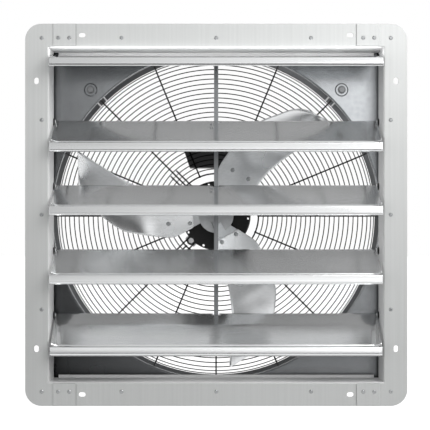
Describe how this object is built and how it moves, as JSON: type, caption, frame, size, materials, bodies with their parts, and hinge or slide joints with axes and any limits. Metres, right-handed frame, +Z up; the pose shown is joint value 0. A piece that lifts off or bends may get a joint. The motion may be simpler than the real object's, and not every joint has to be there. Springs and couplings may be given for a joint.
{
  "type": "shutter exhaust fan",
  "caption": "Square wall-mounted exhaust fan: linked gravity louvres in front of a shallow housing, a bladed fan and a motor held in a wire guard.",
  "frame": {"origin": "centre of the wall face, the rear of the flange, on the fan axis", "axes": "+X right as seen from the front, +Y from the front back into the building along the fan axis, +Z up"},
  "size_m": [0.71, 0.344, 0.71],
  "materials": {
    "frame_sheet": "satin folded sheet",
    "housing_sheet": "satin grey coat on zinc-plated sheet",
    "louvre_sheet": "bright rolled sheet, nearly mirror-like",
    "rivet_alloy": "satin",
    "zinc_steel": "zinc plated",
    "link_steel": "zinc plated, dull",
    "spider_steel": "stamped and plated",
    "blade_alloy": "stamped sheet, satin with rolling grain",
    "shaft_steel": "ground",
    "core_steel": "varnished laminations",
    "copper_wire": "enamelled copper winding",
    "motor_paint": "semi-gloss black",
    "guard_coating": "black powder coat",
    "black_nylon": "matte",
    "box_plastic": "fine moulded grain",
    "capacitor_can": "drawn can",
    "lead_rubber": "matte"
  },
  "bodies": {
    "frame": {"left_stile": "frame_sheet", "right_stile": "frame_sheet", "top_rail": "frame_sheet", "bottom_rail": "frame_sheet", "frame_rivets": "rivet_alloy", "housing_left": "housing_sheet", "housing_right": "housing_sheet", "housing_top": "housing_sheet", "housing_bottom": "housing_sheet", "housing_rivets": "rivet_alloy", "orifice_panel": "housing_sheet", "panel_screws": "zinc_steel", "pivot_bushes": "black_nylon", "motor_front_shield": "motor_paint", "motor_shell": "motor_paint", "motor_rear_shield": "motor_paint", "stator_core": "core_steel", "stator_windings": "copper_wire", "bearings": "shaft_steel", "motor_bolts": "zinc_steel", "motor_nuts": "zinc_steel", "guard_rings": "guard_coating", "guard_side_rings": "guard_coating", "guard_radials": "guard_coating", "guard_motor_wires": "guard_coating", "guard_feet": "zinc_steel", "guard_bolts": "zinc_steel", "guard_nuts": "zinc_steel", "control_box": "box_plastic", "control_box_lid": "box_plastic", "box_strap": "zinc_steel", "box_screws": "zinc_steel", "capacitor": "capacitor_can", "cable_gland": "black_nylon", "motor_lead": "lead_rubber"},
    "rotor": {"spider": "spider_steel", "blade_1": "blade_alloy", "blade_2": "blade_alloy", "blade_3": "blade_alloy", "blade_rivets": "rivet_alloy", "hub_screw": "zinc_steel", "shaft": "shaft_steel", "rotor_core": "core_steel"},
    "tie_bar_link": {"tie_bar": "link_steel"},
    "louvre_1_body": {"louvre_1": "louvre_sheet", "bracket_1": "zinc_steel", "bracket_rivets_1": "rivet_alloy"},
    "louvre_2_body": {"louvre_2": "louvre_sheet", "bracket_2": "zinc_steel", "bracket_rivets_2": "rivet_alloy"},
    "louvre_3_body": {"louvre_3": "louvre_sheet", "bracket_3": "zinc_steel", "bracket_rivets_3": "rivet_alloy"},
    "louvre_4_body": {"louvre_4": "louvre_sheet", "bracket_4": "zinc_steel", "bracket_rivets_4": "rivet_alloy"},
    "louvre_5_body": {"louvre_5": "louvre_sheet", "bracket_5": "zinc_steel", "bracket_rivets_5": "rivet_alloy"}
  },
  "joints": [
    {"name": "fan_spin", "type": "hinge", "parent": "frame", "child": "rotor", "pos_m": [0, 0.139, 0], "axis": [0, -1, 0], "continuous": true},
    {"name": "louvre_1_pivot", "type": "hinge", "parent": "frame", "child": "louvre_1_body", "pos_m": [0, 0.078, 0.3006], "axis": [1, 0, 0], "range_deg": [-5.64, 74]},
    {"name": "louvre_2_pivot", "type": "hinge", "parent": "frame", "child": "louvre_2_body", "pos_m": [0, 0.078, 0.17778], "axis": [1, 0, 0], "range_deg": [-4.27, 56]},
    {"name": "louvre_3_pivot", "type": "hinge", "parent": "frame", "child": "louvre_3_body", "pos_m": [0, 0.078, 0.05496], "axis": [1, 0, 0], "range_deg": [-4.5, 59]},
    {"name": "louvre_4_pivot", "type": "hinge", "parent": "frame", "child": "louvre_4_body", "pos_m": [0, 0.078, -0.06786], "axis": [1, 0, 0], "range_deg": [-4.31, 56.5]},
    {"name": "louvre_5_pivot", "type": "hinge", "parent": "frame", "child": "louvre_5_body", "pos_m": [0, 0.078, -0.19068], "axis": [1, 0, 0], "range_deg": [-3.85, 50.5]},
    {"name": "tie_bar_pivot", "type": "hinge", "parent": "louvre_3_body", "child": "tie_bar_link", "pos_m": [0, 0.08542, 0.04309], "axis": [1, 0, 0], "range_deg": [-59, 4.5]}
  ],
  "couplings": [
    {"joint": "louvre_1_pivot", "follows": "louvre_3_pivot", "ratio": 1.2542},
    {"joint": "louvre_2_pivot", "follows": "louvre_3_pivot", "ratio": 0.94915},
    {"joint": "louvre_4_pivot", "follows": "louvre_3_pivot", "ratio": 0.95763},
    {"joint": "louvre_5_pivot", "follows": "louvre_3_pivot", "ratio": 0.85593},
    {"joint": "tie_bar_pivot", "follows": "louvre_3_pivot", "ratio": -1}
  ]
}
